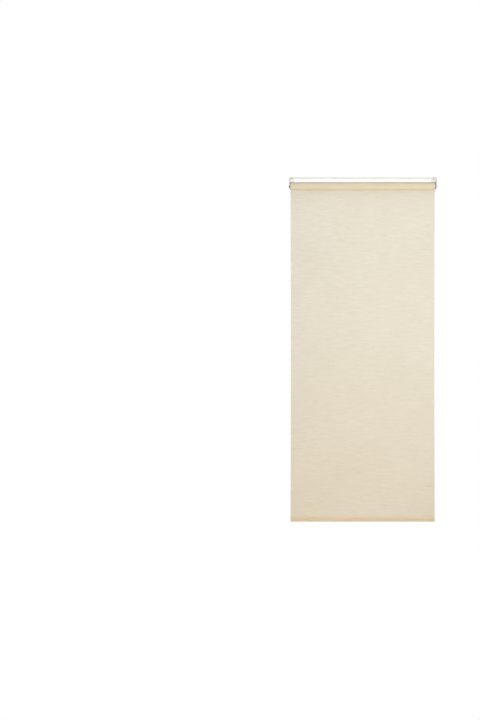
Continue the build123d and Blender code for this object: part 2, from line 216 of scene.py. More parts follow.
@dataclass(frozen=True, kw_only=True)
class WovenJute(Finish):
    """Plain-woven natural jute: uneven yarns show as fine crosswise streaks in a matt straw colour.

    Sizes in pairs are lengths across the cloth and along it, and tones in pairs are dark and light.
    """

    single_tones: Tones
    folded_tones: Tones
    fleck: str
    # A yarn is half a pixel in the picture, so a streak runs over nearly three of them to show.
    streak_mm: Pair = (62.0, 6.5)
    streak_detail: float = 3.0
    streak_share: float = 0.7
    patch_mm: Pair = (210.0, 210.0)
    patch_detail: float = 2.0
    tone_limits: Pair = (0.34, 0.66)
    # A yarn keeps one tone over its height, and along it the tone changes in steps too small to see.
    yarn_step_mm: float = 0.05
    slub_mm: Pair = (26.0, 3.2)
    slub_detail: float = 1.0
    swell_gain: float = 1.6
    fleck_limits: Pair = (0.62, 0.78)
    fleck_share: float = 0.3
    wander_mm: Pair = (48.0, 11.0)
    wander_detail: float = 1.0
    wander_reach_mm: float = 1.3
    dip_share: float = 0.45
    # Painted shade: the colour is darkened in the gaps between the yarns, fully beside a thick yarn and
    # faintly beside a thin one.
    gap_shade_share: float = 0.22
    gap_height: float = 0.5
    thick_limits: Pair = (0.32, 0.62)
    thin_share: float = 0.15
    bump_mm: float = 0.3
    single_bump_share: float = 0.08
    folded_bump_share: float = 0.25
    roughness: float = 0.92
    specular: float = 0.2

    def shade(self, tree: NodeTree, shader: Node) -> None:
        """Streaks and flecks colour the cloth, painted shade darkens the gaps between the crossing yarns,
        and their bump roughens it.

        Args:
            tree: the material's node tree.
            shader: its principled shader.
        """
        stored = add_node(tree, "Attribute", {"attribute_name": CLOTH_PLACE}).outputs["Vector"]
        layers = add_node(tree, "SeparateXYZ", inputs={0: stored}).outputs[2]
        place = add_node(tree, "VectorMath", {"operation": "MULTIPLY"}, {0: stored, 1: (1, 1, 0)}).outputs[0]
        woven = self.wander(tree, place)
        one_yarn = (self.yarn_step_mm * MM, WEFT_PITCH_MM * MM, 1.0)
        yarn = add_node(tree, "VectorMath", {"operation": "SNAP"}, {0: woven, 1: one_yarn}).outputs[0]
        slub = sized_noise(tree, yarn, self.slub_mm, self.slub_detail)
        height = self.weave(tree, woven, slub)
        colour = self.colour(tree, place, yarn, slub, layers)
        # Painted shade: where the weave's height falls to a gap, the colour is multiplied darker.
        low, high = self.thick_limits
        limits = {"From Min": low, "From Max": high, "To Min": self.thin_share}
        gap_shade_strength = add_node(tree, "MapRange", inputs={0: slub, **limits}).outputs[0]
        limits = {"From Max": self.gap_height, "To Min": 1 - self.gap_shade_share}
        shadow = add_node(tree, "MapRange", inputs={0: height, **limits}).outputs[0]
        darken = COLOURS | {"blend_type": "MULTIPLY"}
        shaded = add_node(tree, "Mix", darken, {0: gap_shade_strength, 6: colour, 7: shadow}).outputs[2]
        limits = {"To Min": self.single_bump_share, "To Max": self.folded_bump_share}
        strength = add_node(tree, "MapRange", inputs={0: layers, **limits}).outputs[0]
        relief = {"Strength": strength, "Distance": self.bump_mm * MM, "Height": height}
        tree.links.new(shaded, shader.inputs["Base Color"])
        tree.links.new(add_node(tree, "Bump", inputs=relief).outputs[0], shader.inputs["Normal"])
        shader.inputs["Roughness"].default_value = self.roughness
        shader.inputs["Specular IOR Level"].default_value = self.specular

    def wander(self, tree: NodeTree, place: Socket) -> Socket:
        """Lets the yarns wander a little from their straight lines, as hand-spun ones do.

        Args:
            tree: the material's node tree.
            place: a point's place on the cloth, across and along it.

        Returns:
            The shifted place.
        """
        drift = sized_noise(tree, place, self.wander_mm, self.wander_detail)
        shift = add_node(tree, "Math", {"operation": "MULTIPLY"}, {0: drift, 1: self.wander_reach_mm * MM})
        along = add_node(tree, "CombineXYZ", inputs={"Y": shift.outputs[0]})
        return add_node(tree, "VectorMath", {"operation": "ADD"}, {0: place, 1: along.outputs[0]}).outputs[0]

    def colour(self, tree: NodeTree, place: Socket, yarn: Socket, slub: Socket, layers: Socket) -> Socket:
        """Colour of the yarns: streaks on broad, faint patches, deeper where folded and flecked where thick.

        Args:
            tree: the material's node tree.
            place: a point's place on the cloth, across and along it.
            yarn: the same place, alike over the height of a yarn.
            slub: noise that swells the yarns.
            layers: depth of the tone.

        Returns:
            The colour.
        """
        streak = sized_noise(tree, yarn, self.streak_mm, self.streak_detail)
        patch = sized_noise(tree, place, self.patch_mm, self.patch_detail)
        tone = add_node(tree, "Mix", inputs={0: self.streak_share, 2: patch, 3: streak}).outputs[0]
        low, high = self.tone_limits
        spread = add_node(tree, "MapRange", inputs={0: tone, "From Min": low, "From Max": high}).outputs[0]
        single, folded = (
            add_node(tree, "Mix", COLOURS, {0: spread, 6: linear(dark), 7: linear(light)}).outputs[2]
            for dark, light in (self.single_tones, self.folded_tones)
        )
        deepen = COLOURS | {"clamp_factor": False}
        ground = add_node(tree, "Mix", deepen, {0: layers, 6: single, 7: folded}).outputs[2]
        low, high = self.fleck_limits
        limits = {"From Min": low, "From Max": high, "To Max": self.fleck_share}
        sparse = add_node(tree, "MapRange", inputs={0: slub, **limits}).outputs[0]
        return add_node(tree, "Mix", COLOURS, {0: sparse, 6: ground, 7: linear(self.fleck)}).outputs[2]

    def weave(self, tree: NodeTree, place: Socket, slub: Socket) -> Socket:
        """Height of the yarns: thick weft yarns that dip under a fine warp thread at every other crossing.

        Args:
            tree: the material's node tree.
            place: a point's place on the cloth, across and along it.
            slub: noise that swells the yarns.

        Returns:
            The height, 0 in the gaps and 1 on the crests.
        """
        half_turn = math.pi * Vector((1 / (WARP_PITCH_MM * MM), 1 / (WEFT_PITCH_MM * MM), 0))
        turned = add_node(tree, "VectorMath", {"operation": "MULTIPLY"}, {0: place, 1: half_turn})
        wave = add_node(tree, "VectorMath", {"operation": "SINE"}, {0: turned.outputs[0]})
        warp, weft, _ = add_node(tree, "SeparateXYZ", inputs={0: wave.outputs[0]}).outputs
        height = add_node(tree, "Math", {"operation": "MULTIPLY"}, {0: warp, 1: weft}).outputs[0]
        crest = add_node(tree, "Math", {"operation": "ABSOLUTE"}, {0: weft}).outputs[0]
        for settings, inputs in (
            ({"operation": "MULTIPLY_ADD"}, {1: self.dip_share, 2: crest}),
            ({"operation": "MULTIPLY"}, {1: slub}),
            ({"operation": "MULTIPLY", "use_clamp": True}, {1: self.swell_gain}),
        ):
            height = add_node(tree, "Math", settings, {0: height, **inputs}).outputs[0]
        return height


@dataclass(frozen=True, kw_only=True)
class GrainedFinish(Finish):
    """A hard surface whose grain varies its colour, from dark to light, and its gloss, and roughens it."""

    tones: Tones
    grain_mm: Triple
    roughness: float
    gloss_spread: float = 0.05
    metallic: float = 0.0
    bump_mm: float = 0.01
    bump_strength: float = 0.4
    grain_detail: float = 3.0

    def shade(self, tree: NodeTree, shader: Node) -> None:
        """One noise, stretched as the surface was made, drives colour, gloss and bump.

        Args:
            tree: the material's node tree.
            shader: its principled shader.
        """
        place = add_node(tree, "TexCoord").outputs["Object"]
        grain = sized_noise(tree, place, self.grain_mm, self.grain_detail)
        dark, light = self.tones
        colour = add_node(tree, "Mix", COLOURS, {0: grain, 6: linear(dark), 7: linear(light)}).outputs[2]
        gloss = {"To Min": self.roughness - self.gloss_spread, "To Max": self.roughness + self.gloss_spread}
        relief = {"Strength": self.bump_strength, "Distance": self.bump_mm * MM, "Height": grain}
        for socket, value in (
            ("Base Color", self.tint(tree, place, colour)),
            ("Roughness", add_node(tree, "MapRange", inputs={0: grain, **gloss}).outputs[0]),
            ("Normal", add_node(tree, "Bump", inputs=relief).outputs[0]),
        ):
            tree.links.new(value, shader.inputs[socket])
        shader.inputs["Metallic"].default_value = self.metallic

    def tint(self, tree: NodeTree, place: Socket, colour: Socket) -> Socket:
        """The colour as it is: a finish that differs from place to place changes it here."""
        return colour


@dataclass(frozen=True, kw_only=True)
class CoatedSheet(GrainedFinish):
    """Coated sheet whose cut edges, the faces square to the sheet, take an edge colour of their own."""

    edge: str
    # The bends to the wall and to the rail begin here, as the brackets' solids are folded.
    wall_bend_mm: float
    rail_bend_mm: float
    face_slope: float = 0.8
    edge_slope: float = 0.6

    def tint(self, tree: NodeTree, place: Socket, colour: Socket) -> Socket:
        """Gives the edge colour where a face is square to the sheet that it belongs to.

        Args:
            tree: the material's node tree.
            place: a point's place on the bracket.
            colour: colour of the coat.

        Returns:
            The coat's colour on the faces and the edge's colour on the cuts.
        """
        normal = add_node(tree, "NewGeometry").outputs["True Normal"]
        steep = add_node(tree, "VectorMath", {"operation": "ABSOLUTE"}, {0: normal})
        slope = add_node(tree, "SeparateXYZ", inputs={0: steep.outputs[0]}).outputs
        where = add_node(tree, "SeparateXYZ", inputs={0: place}).outputs
        plate_cut, flange_cut, tongue_cut, to_wall, to_rail = (
            add_node(tree, "Math", {"operation": test}, {0: value, 1: limit}).outputs[0]
            for test, value, limit in (
                ("LESS_THAN", slope[0], self.face_slope),
                ("GREATER_THAN", slope[2], self.edge_slope),
                ("GREATER_THAN", slope[1], self.edge_slope),
                ("GREATER_THAN", where[1], self.wall_bend_mm * MM),
                ("GREATER_THAN", where[2], self.rail_bend_mm * MM),
            )
        )
        folded = add_node(tree, "Mix", inputs={0: to_wall, 2: plate_cut, 3: flange_cut})
        cut = add_node(tree, "Mix", inputs={0: to_rail, 2: folded.outputs[0], 3: tongue_cut}).outputs[0]
        return add_node(tree, "Mix", COLOURS, {0: cut, 6: colour, 7: linear(self.edge)}).outputs[2]


@dataclass(frozen=True, kw_only=True)
class PaleFloor(Finish):
    """Matt floor that looks white, keeps the blind's shadow and is clear from below."""

    colour: str
    roughness: float
    glow: float

    def shade(self, tree: NodeTree, shader: Node) -> None:
        """A glow that only the eye sees brings the floor near the white of the surround.

        Args:
            tree: the material's node tree.
            shader: its principled shader.
        """
        shader.inputs["Base Color"].default_value = linear(self.colour)
        shader.inputs["Roughness"].default_value = self.roughness
        shader.inputs["Emission Color"].default_value = linear(WHITE)
        glow = add_node(tree, "Math", {"operation": "MULTIPLY"}, {0: seen_directly(tree), 1: self.glow})
        tree.links.new(glow.outputs[0], shader.inputs["Emission Strength"])
        below = add_node(tree, "NewGeometry").outputs["Backfacing"]
        clear = add_node(tree, "BsdfTransparent").outputs[0]
        sided = add_node(tree, "MixShader", inputs={0: below, 1: shader.outputs[0], 2: clear})
        tree.links.new(sided.outputs[0], tree.nodes["Material Output"].inputs["Surface"])


# One layer of cloth lets light through and reads pale; several layers read deeper and more yellow.
JUTE = WovenJute(
    "woven_jute", single_tones=("e4ddcb", "eae5d4"), folded_tones=("e1d4b8", "e8dbc2"), fleck="d0be9a"
)
# Polyester powder baked on extruded aluminium: satin white, faintly grey, with a slight orange peel.
POWDER_COAT = GrainedFinish(
    "white_powder_coat", tones=("d6d9cb", "dcdfd1"), grain_mm=(1.6, 1.6, 1.6), roughness=0.42, bump_mm=0.03
)
# Steel sheet: a clean, smooth white coat on its faces, and a dull grey-brown on its cut edges.
COATED_SHEET = CoatedSheet(
    "white_coated_sheet_steel",
    tones=("edece5", "f3f2ec"),
    edge="7b756c",
    grain_mm=(3.0, 3.0, 3.0),
    roughness=0.34,
    wall_bend_mm=29.0,
    rail_bend_mm=-4.2,
)
# Glass-filled nylon from a spark-eroded mould: dark grey, matt, finely speckled.
GREY_NYLON = GrainedFinish(
    "moulded_grey_nylon",
    tones=("312f2d", "403f3c"),
    grain_mm=(0.9, 0.9, 0.9),
    roughness=0.56,
    gloss_spread=0.08,
    bump_mm=0.03,
)
# White rigid vinyl, drawn through a die: smooth, with long faint lines.
WHITE_VINYL = GrainedFinish(
    "extruded_white_vinyl", tones=("e3e3de", "eeeeea"), grain_mm=(60.0, 0.8, 0.8), roughness=0.38
)
# Aluminium as it leaves the extrusion die: grey, with long die lines that stretch its highlights.
MILL_ALUMINIUM = GrainedFinish(
    "extruded_aluminium",
    tones=("bcbfc2", "d2d4d6"),
    grain_mm=(90.0, 0.7, 0.7),
    roughness=0.34,
    gloss_spread=0.08,
    metallic=1.0,
)
# Zinc on turned or pressed steel, dulled by handling: mid grey, slightly blue, softly mottled.
ZINC_STEEL = GrainedFinish(
    "zinc_plated_steel",
    tones=("8b8f93", "a9adb0"),
    grain_mm=(2.2, 2.2, 2.2),
    roughness=0.42,
    gloss_spread=0.1,
    metallic=1.0,
)
# Steel blued in hot salts: dark blue-grey with a dull sheen.
BLUED_STEEL = GrainedFinish(
    "blued_steel",
    tones=("444a50", "5a6168"),
    grain_mm=(1.5, 1.5, 1.5),
    roughness=0.48,
    gloss_spread=0.08,
    metallic=1.0,
)
# Oil-tempered spring wire: darker steel with fine drawing marks.
SPRING_STEEL = GrainedFinish(
    "drawn_spring_steel",
    tones=("6d6f72", "8f9194"),
    grain_mm=(0.6, 0.6, 0.6),
    roughness=0.38,
    gloss_spread=0.08,
    metallic=1.0,
)
# Spun polyester thread in the cloth's colour, with a fine twist.
SEWING_THREAD = GrainedFinish(
    "spun_sewing_thread", tones=("dccfb0", "ebe0c6"), grain_mm=(0.5, 0.5, 0.5), roughness=0.8, bump_mm=0.04
)
# Matt white paint, a touch warm: it takes the blind's soft shadow and shows no sheen.
FLOOR_PAINT = PaleFloor("pale_floor", colour="f2f2f0", roughness=0.9, glow=0.6)


def mesh_piece(name: str, points: Array, faces: Sequence[Sequence[int]], sharp_deg: float = 40.0) -> Object:
    """Makes a mesh object whose faces look outward.

    Args:
        name: name of the piece.
        points: vertices, in metres.
        faces: vertex numbers of each face.
        sharp_deg: edges that turn by more stay sharp.

    Returns:
        The object, in the scene.
    """
    mesh = bpy.data.meshes.new(name)
    mesh.from_pydata(points.tolist(), [], faces)
    work = bmesh.new()
    work.from_mesh(mesh)
    bmesh.ops.recalc_face_normals(work, faces=work.faces)
    work.to_mesh(mesh)
    work.free()
    mesh.shade_smooth()
    mesh.set_sharp_from_angle(angle=math.radians(sharp_deg))
    piece = bpy.data.objects.new(name, mesh)
    bpy.context.scene.collection.objects.link(piece)
    return piece


def grid_quads(*grids: Array) -> list[list[int]]:
    """Quads of grids of vertex numbers; a row or column that comes again at the end closes its grid."""
    corners = ([g[:-1, :-1], g[1:, :-1], g[1:, 1:], g[:-1, 1:]] for g in grids)
    return np.concatenate([np.stack(four, axis=-1).reshape(-1, 4) for four in corners]).tolist()


def between_knots(knots: Array, across: Array) -> Array:
    """Rows of values that are given at even knots, read at each place across the cloth."""
    spots = np.linspace(across[0], across[-1], knots.shape[1])
    return np.stack([np.interp(across, spots, row) for row in knots])


def raised_skin(x: Array, line: Array, normals: Array, lift: Array) -> Array:
    """Vertices, row by row, of a skin that stands off a line in Y and Z along the line's normals."""
    raised = line[:, None] + normals[:, None] * lift[..., None]
    return np.dstack([np.broadcast_to(x, lift.shape), raised]).reshape(-1, 3)


def tube_faces(rings: int, sides: int, first: int = 0) -> list[list[int]]:
    """Faces of a tube of rings of vertices, numbered ring by ring from the first, capped at both ends."""
    loops = first + np.arange(rings * sides).reshape(rings, sides)
    return [*grid_quads(np.column_stack([loops, loops[:, 0]])), loops[0].tolist(), loops[-1].tolist()]


def install(piece: Object, finish: Finish, body: Body, slot: Slot, *nodes: str) -> Object:
    """Dresses a piece and lets it ride on a body and stand for solids of the frame.

    Args:
        piece: the new piece.
        finish: its finish.
        body: body that carries it.
        slot: not used.
        nodes: solids that it stands for.

    Returns:
        The piece.
    """
    finish.dress(piece)
    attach(piece, body.value)
    if nodes:
        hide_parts(*nodes)
    return piece


class Assembly(ABC):
    """A sub-assembly of the blind."""

    @abstractmethod
    def build(self) -> list[Object]:
        """Builds the sub-assembly's pieces and dresses them.

        Returns:
            The pieces.
        """


@dataclass(frozen=True)
class YarnRelief:
    """Relief of the weave: a low rib for each weft yarn, and long slubs where a yarn is spun thick."""

    rib_mm: float
    swell_mm: float
    slub_mm: float
    swell_length_mm: float = 45.0
    slub_length_mm: float = 70.0
    slub_height_mm: float = 9.0
    slub_area_mm2: float = 2600.0
    slub_spread: Pair = (0.5, 1.5)
    slub_reach: float = 3.0

    def rows(self, length: float) -> Array:
        """Places along a cloth of that length: its ribs' valleys at even numbers and crests at odd ones."""
        ribs = max(1, round(length / (WEFT_PITCH_MM * MM)))
        return np.linspace(0, length, 2 * ribs + 1)

    def heights(self, across: Array, along: Array, limit: float, seed: int) -> Array:
        """Height of the cloth's face above its ground.

        Args:
            across: places across the cloth.
            along: places along it, from rows().
            limit: height that no yarn passes.
            seed: seed of this face's slubs.

        Returns:
            Heights, one row for each place along the cloth.
        """
        chance = np.random.default_rng(seed)
        width = across[-1] - across[0]
        knots = max(2, round(width / (self.swell_length_mm * MM)))
        swell = between_knots(chance.random((len(along), knots)), across)
        crest = (np.arange(len(along)) % 2)[:, None]
        made = crest * (self.rib_mm + self.swell_mm * swell) * MM
        area_mm2 = width * (along[-1] - along[0]) / MM**2
        for _ in range(round(area_mm2 / self.slub_area_mm2)):
            at_x = chance.uniform(across[0], across[-1])
            at_s = chance.uniform(along[0], along[-1])
            long, tall, high = chance.uniform(*self.slub_spread, 3)
            x = (across - at_x) / (self.slub_length_mm * long * MM / 2)
            s = (along - at_s) / (self.slub_height_mm * tall * MM / 2)
            near = np.abs(s) < self.slub_reach
            made[near] += self.slub_mm * high * MM * np.exp(-np.square(s[near])[:, None] - np.square(x))
        return limit * np.tanh(made / limit)


@dataclass(frozen=True)
class ClothStrip:
    """A strip of cloth swept across the blind along a line in Y and Z, woven on both faces."""

    name: str
    low: Vector
    high: Vector
    line: Array
    normals: Array
    along: Array
    thickness: float
    layers: Layers
    relief: YarnRelief
    seed: int
    column_mm: float = 15.0
    ground_share: float = 0.64
    # Cut yarn ends leave a slightly uneven edge.
    fray_mm: float = 0.3

    def build(self, pinch: Array) -> Object:
        """Makes the strip as a closed skin and writes each point's place on the cloth.

        Args:
            pinch: how far each row's ends draw in, as a share of the width.

        Returns:
            The strip.
        """
        rows = len(self.along)
        columns = round((self.high.x - self.low.x) / (self.column_mm * MM)) + 1
        across = np.linspace(self.low.x, self.high.x, columns)
        ground = self.ground_share * self.thickness / 2
        limit = self.thickness / 2 - ground
        x = (1 - pinch)[:, None] * across
        fray = np.random.default_rng(self.seed).random((rows, 2)) * self.fray_mm * MM
        x[:, 0] += fray[:, 0]
        x[:, -1] -= fray[:, 1]
        skins = []
        for side, seed in ((1, self.seed), (-1, self.seed + 1)):
            lift = side * (ground + self.relief.heights(across, self.along, limit, seed))
            skins.append(raised_skin(x, self.line, self.normals, lift))
        grid = np.arange(rows * columns).reshape(rows, columns)
        rim = np.concatenate([grid[0, :-1], grid[:-1, -1], grid[-1, :0:-1], grid[::-1, 0]])
        faces = grid_quads(grid, grid + grid.size, np.stack([rim, rim + grid.size]))
        piece = mesh_piece(self.name, np.concatenate(skins), faces)
        woven = np.arange(rows) * WEFT_PITCH_MM * MM / 2
        write_cloth_place(piece, across, woven, np.full(rows, self.layers.value))
        return piece


def write_cloth_place(piece: Object, across: Array, along: Array, depth: Array) -> None:
    """Stores where the vertices of two skins lie on the flat cloth, for the weave's pattern.

    Args:
        piece: a cloth piece whose two skins have their vertices row by row.
        across: place of each column across the cloth, in metres.
        along: place of each row along the cloth, in metres.
        depth: depth of the tone in each row.
    """
    place = np.stack(np.meshgrid(across, along), axis=-1).reshape(-1, 2)
    skin = np.concatenate([place, np.repeat(depth, len(across))[:, None]], axis=1)
    attribute = piece.data.attributes.new(CLOTH_PLACE, "FLOAT_VECTOR", "POINT")
    attribute.data.foreach_set("vector", np.concatenate([skin, skin]).astype(np.float32).ravel())


@dataclass
class HangingPanel(Assembly):
    """The cloth that hangs from the roll to the hem."""

    # The relief is kept low, because shortening the raised cloth steepens it.
    relief: YarnRelief = YarnRelief(rib_mm=0.02, swell_mm=0.03, slub_mm=0.15)
    # The free edges draw in a little between the roll and the slat, as the photograph shows.
    draw_in_mm: float = 1.5
    seed: int = 11

    def build(self) -> list[Object]:
        """Makes the hanging cloth, with a mesh of its own.

        Returns:
            The panel.
        """
        low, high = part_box("cloth_panel")
        width, length = high.x - low.x, high.z - low.z
        along = self.relief.rows(length)
        middle = (low.y + high.y) / 2
        strip = ClothStrip(
            name="jute_panel",
            low=low,
            high=high,
            line=np.stack([np.full(len(along), middle), high.z - along], axis=1),
            normals=np.tile([-1.0, 0.0], (len(along), 1)),
            along=along,
            thickness=high.y - low.y,
            layers=Layers.SINGLE,
            relief=self.relief,
            seed=self.seed,
        )
        panel = strip.build(np.sin(np.pi * along / length) * self.draw_in_mm * MM / (width / 2))
        install(panel, JUTE, Body.FRAME, Slot.JUTE, "cloth_panel")
        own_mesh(panel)
        return [panel]


@dataclass
class WoundRoll(Assembly):
    """The turns of cloth that stay on the tube."""

    relief: YarnRelief = YarnRelief(rib_mm=0.06, swell_mm=0.08, slub_mm=0.2)
    # The turns of a real roll never lie exactly over each other at the ends.
    stagger_mm: float = 0.35
    # The roll turns and the panel doesn't, so a hair's breadth is left between their ends.
    parting_mm: float = 0.4
    seed: int = 23

    def __post_init__(self) -> None:
        """Reads the roll's turns from the frame: half circles about two centres."""
        self.low, self.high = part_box("cloth_roll")
        panel_low, panel_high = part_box("cloth_panel")
        tube_low, tube_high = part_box("roller_tube")
        self.axis_z = panel_high.z
        self.thickness = panel_high.y - panel_low.y
        # A half turn's radius is this much less than the one before, and so is the reach to the front.
        self.rise = self.high.y + self.low.y
        free = self.high.y - self.thickness - (tube_high.z - tube_low.z) / 2
        self.half_turns = int(free / self.rise)

    def build(self) -> list[Object]:
        """Makes the wound cloth as one spiral strip.

        Returns:
            The roll.
        """
        mean = self.high.y - self.thickness / 2 - self.rise * self.half_turns / 2
        along = self.relief.rows(math.pi * mean * self.half_turns)
        parting = self.parting_mm * MM / self.high.y / math.pi
        turned = parting + along / along[-1] * (self.half_turns - parting)
        step = np.minimum(turned.astype(int), self.half_turns - 1)
        angle = math.pi * turned
        radius = self.high.y - self.rise / 2 - step * self.rise - self.thickness / 2
        centre = self.rise / 2 - (step % 2) * self.rise
        normals = np.stack([np.cos(angle), np.sin(angle)], axis=1)
        strip = ClothStrip(
            name="jute_roll",
            low=self.low,
            high=self.high,
            line=normals * radius[:, None] + np.stack([centre, np.full(len(along), self.axis_z)], axis=1),
            normals=normals,
            along=along,
            thickness=self.thickness,
            layers=Layers.FOLDED,
            relief=self.relief,
            seed=self.seed,
        )
        roll = strip.build(np.square(np.sin(angle / 2)) * self.stagger_mm * MM / self.high.x)
        return [install(roll, JUTE, Body.ROLLER, Slot.JUTE, "cloth_roll")]


@dataclass
class SewnHem(Assembly):
    """The hem at the bottom: cloth folded round the slat and sewn to itself above it."""

    columns: int = 97
    bump_columns: int = 4
    bump_mm: float = 0.12
    profile_points: int = 72
    shoulder_points: int = 12
    fold_points: int = 18
    shoulder_deg: float = 62.0
    # The sewn neck is a little thicker than two layers of cloth.
    neck_share: float = 1.04
    seam_drop_mm: float = 2.2
    stitch_pitch_mm: float = 4.0
    stitch_length_mm: float = 3.1
    stitch_rings: int = 5
    thread_mm: float = 0.55
    thread_sides: int = 6
    # A stitch bows out of the cloth in its middle and dives in, pulled thin, at its ends.
    bow_share: float = 1.4
    sink_share: float = 0.9
    thin_share: float = 0.45
    thread_sharp_deg: float = 60.0
    tone_depth_mm: float = 10.0
    seed: int = 37

    def __post_init__(self) -> None:
        """Reads the hem's and the slat's places from the frame."""
        self.low, self.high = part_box("hem")
        self.bar_low, self.bar_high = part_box("bottom_bar")
        panel_low, panel_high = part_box("cloth_panel")
        self.cloth = panel_high.y - panel_low.y
        self.middle_y = (self.low.y + self.high.y) / 2
        self.loop_radius = (self.high.y - self.low.y) / 2
        self.bar_half = (self.bar_high.y - self.bar_low.y) / 2
        self.seam_z = self.high.z - self.seam_drop_mm * MM

    def build(self) -> list[Object]:
        """Makes the folded cloth and its two rows of stitches."""
        return [self.folded_cloth(), self.stitching()]

    def outline(self, radius: float, neck: bool) -> Array:
        """Points round a section of the hem, from the top, front side first.

        Args:
            radius: half the section's thickness at the slat.
            neck: whether the section narrows to the sewn neck above the slat.

        Returns:
            Places in Y and Z, evenly spaced.
        """
        start, points = math.pi / 2, []
        if neck:
            start = math.radians(self.shoulder_deg)
            points = [(self.cloth, self.high.z), (self.cloth * self.neck_share, self.seam_z)]
        for centre_z, angles in (
            (self.bar_high.z - self.bar_half, np.linspace(start, 0, self.shoulder_points)),
            (self.low.z + self.loop_radius, np.linspace(0, -math.pi / 2, self.fold_points)),
        ):
            points += [(radius * math.cos(a), centre_z + radius * math.sin(a)) for a in angles]
        half = np.array(points)
        whole = np.concatenate([half * (-1, 1), half[::-1][1:]])
        places = self.distances(whole)
        wanted = np.linspace(0, places[-1], self.profile_points)
        even = np.stack([np.interp(wanted, places, values) for values in whole.T], axis=1)
        return even + (self.middle_y, 0)

    @staticmethod
    def distances(line: Array) -> Array:
        """Distance of each point of a line from its start, along the line."""
        return np.concatenate([[0], np.cumsum(np.linalg.norm(np.diff(line, axis=0), axis=1))])

    def folded_cloth(self) -> Object:
        """Makes the cloth round the slat, as a closed sleeve with low bumps on its outer skin.

        Returns:
            The hem.
        """
        outer = self.outline(self.loop_radius, neck=True)
        inner = self.outline(self.loop_radius - self.cloth, neck=False)
        across = np.linspace(self.low.x, self.high.x, self.columns)
        chance = np.random.default_rng(self.seed)
        knots = chance.random((len(outer), self.columns // self.bump_columns))
        bumps = between_knots(knots, across) * self.bump_mm * MM
        centre = np.array([self.middle_y, (self.bar_low.z + self.bar_high.z) / 2])
        inward = centre - outer
        inward /= np.linalg.norm(inward, axis=1)[:, None]
        sunk = ((outer, bumps), (inner, np.zeros_like(bumps)))
        skins = [raised_skin(across, section, inward, depth) for section, depth in sunk]
        grid = np.arange(len(outer) * self.columns).reshape(len(outer), self.columns)
        sleeve = np.vstack([grid, grid[:1]])
        ends = [np.stack([edge, edge + grid.size]) for edge in (sleeve[:, 0], sleeve[:, -1])]
        faces = grid_quads(sleeve, sleeve + grid.size, *ends)
        hem = mesh_piece("jute_hem", np.concatenate(skins), faces)
        below_seam = (self.high.z - outer[:, 1]) / (self.tone_depth_mm * MM)
        depth = np.interp(below_seam, (0, 1), (Layers.SEWN.value, Layers.HEMMED.value))
        write_cloth_place(hem, across, self.distances(outer) - self.high.z, depth)
        return install(hem, JUTE, Body.BOTTOM_BAR, Slot.JUTE, "hem")

    def stitching(self) -> Object:
        """Makes the stitches on both faces of the hem's neck.

        Returns:
            All the stitches as one piece.
        """
        rings, sides = self.stitch_rings, self.thread_sides
        thread = self.thread_mm * MM / 2
        pitch = self.stitch_pitch_mm * MM
        count = int((self.high.x - self.low.x) / pitch) - 1
        turn = np.linspace(0, math.tau, sides, endpoint=False)
        share = np.linspace(-1, 1, rings)
        bow = np.cos(share * math.pi / 2)
        out = self.cloth * self.neck_share + thread * (self.bow_share * bow - self.sink_share)
        slim = (thread * (self.thin_share + (1 - self.thin_share) * bow))[:, None]
        points, faces = [], []
        for face in (-1, 1):
            for stitch in range(count):
                middle_x = (stitch - (count - 1) / 2) * pitch
                ring = np.zeros((rings, sides, 3))
                ring[..., 0] = (middle_x + share * self.stitch_length_mm * MM / 2)[:, None]
                ring[..., 1] = (self.middle_y + face * out)[:, None] + slim * np.cos(turn)
                ring[..., 2] = self.seam_z + slim * np.sin(turn)
                faces += tube_faces(rings, sides, len(points) * rings * sides)
                points.append(ring.reshape(-1, 3))
        stitches = mesh_piece("hem_stitching", np.concatenate(points), faces, self.thread_sharp_deg)
        return install(stitches, SEWING_THREAD, Body.BOTTOM_BAR, Slot.JUTE)


@dataclass(frozen=True)
class EdgeRounding:
    """Rounding of solids' sharp edges by modifiers, which leave their own meshes as they are."""

    width_mm: float
    join_mm: float = 0.001
    flat_deg: float = 0.5
    corner_deg: float = 50.0
    segments: int = 2

    def dress(self, names: Sequence[str], finish: Finish) -> list[Object]:
        """Joins the solids' corners, clears flat faces of extra edges, rounds sharp ones and adds a finish.

        Args:
            names: nodes of the solids.
            finish: finish that they take.

        Returns:
            The solids' objects.
        """
        solids = [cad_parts[name] for name in names]
        for solid in solids:
            weld = solid.modifiers.new("join_corners", "WELD")
            weld.merge_threshold = self.join_mm * MM
            flat = solid.modifiers.new("plain_faces", "DECIMATE")
            flat.decimate_type = "DISSOLVE"
            flat.angle_limit = math.radians(self.flat_deg)
            bevel = solid.modifiers.new("round_edges", "BEVEL")
            bevel.width = self.width_mm * MM
            bevel.segments = self.segments
            bevel.limit_method = "ANGLE"
            bevel.angle_limit = math.radians(self.corner_deg)
            bevel.miter_outer = "MITER_ARC"
            solid.modifiers.new("even_shading", "WEIGHTED_NORMAL")
            finish.dress(solid)
        return solids


